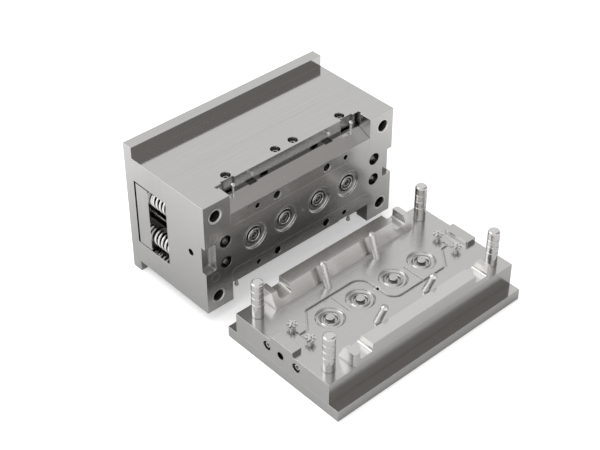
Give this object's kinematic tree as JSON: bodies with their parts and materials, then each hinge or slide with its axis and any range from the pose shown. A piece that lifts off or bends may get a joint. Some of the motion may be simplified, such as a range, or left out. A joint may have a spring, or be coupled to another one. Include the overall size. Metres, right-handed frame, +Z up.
{
  "type": "injection mould",
  "caption": "Opened two-plate injection mould with round and tube cavities, side slides on angle pins, an ejector set with return springs, and clamp plates",
  "frame": {"origin": "centre of the bounding box on the floor", "axes": "+X along the plates, -Y the front, where the fixed half lies, +Z up; the moving half stands behind on its long edge"},
  "size_m": [0.405, 0.484, 0.247],
  "materials": {
    "plate_steel": "ground and lightly brushed",
    "insert_steel": "hardened and ground",
    "pin_steel": "hardened and polished",
    "spring_steel": "bright spring wire",
    "screw_steel": "dark socket screws and hardened rings"
  },
  "bodies": {
    "moving_half": {"moving_clamp_plate": "plate_steel", "spacer_rail_top": "plate_steel", "spacer_rail_bottom": "plate_steel", "core_plate": "plate_steel", "core_inserts": "insert_steel", "core_insert_screws": "screw_steel", "tube_cores": "pin_steel", "guide_bushes": "pin_steel", "slide_rods": "pin_steel", "slide_stop_pins": "pin_steel", "stop_buttons": "screw_steel", "return_springs": "spring_steel", "slide_springs_top": "spring_steel", "slide_springs_bottom": "spring_steel", "moving_half_screws": "screw_steel", "moving_coolant_nipples": "pin_steel"},
    "top_slide": {"slide_top": "insert_steel", "side_cores_top": "pin_steel"},
    "bottom_slide": {"slide_bottom": "insert_steel", "side_cores_bottom": "pin_steel"},
    "ejector_set": {"ejector_retainer_plate": "plate_steel", "ejector_plate": "plate_steel", "ejector_pins": "pin_steel", "return_pins": "pin_steel", "sprue_puller": "pin_steel", "ejector_screws": "screw_steel"},
    "fixed_half": {"fixed_clamp_plate": "plate_steel", "cavity_plate": "plate_steel", "heel_block_back": "insert_steel", "heel_block_front": "insert_steel", "cavity_inserts": "insert_steel", "leader_pins": "pin_steel", "angle_pins": "pin_steel", "tube_posts": "pin_steel", "sprue_bush": "pin_steel", "locating_ring": "screw_steel", "fixed_half_screws": "screw_steel", "heel_screws": "screw_steel", "fixed_coolant_nipples": "pin_steel"}
  },
  "joints": [
    {"name": "top_slide_travel", "type": "slide", "parent": "moving_half", "child": "top_slide", "axis": [0, 0, 1], "range_m": [0, 0.0165], "deforming": ["slide_springs_top"]},
    {"name": "bottom_slide_travel", "type": "slide", "parent": "moving_half", "child": "bottom_slide", "axis": [0, 0, -1], "range_m": [0, 0.0165], "deforming": ["slide_springs_bottom"]},
    {"name": "ejector_stroke", "type": "slide", "parent": "moving_half", "child": "ejector_set", "axis": [0, -1, 0], "range_m": [0, 0.03], "deforming": ["return_springs"]},
    {"name": "fixed_half_lift", "type": "slide", "parent": "moving_half", "child": "fixed_half", "axis": [0, 0, 1], "range_m": [0, 0.06]}
  ],
  "couplings": [
    {"joint": "bottom_slide_travel", "follows": "top_slide_travel", "ratio": 1}
  ]
}
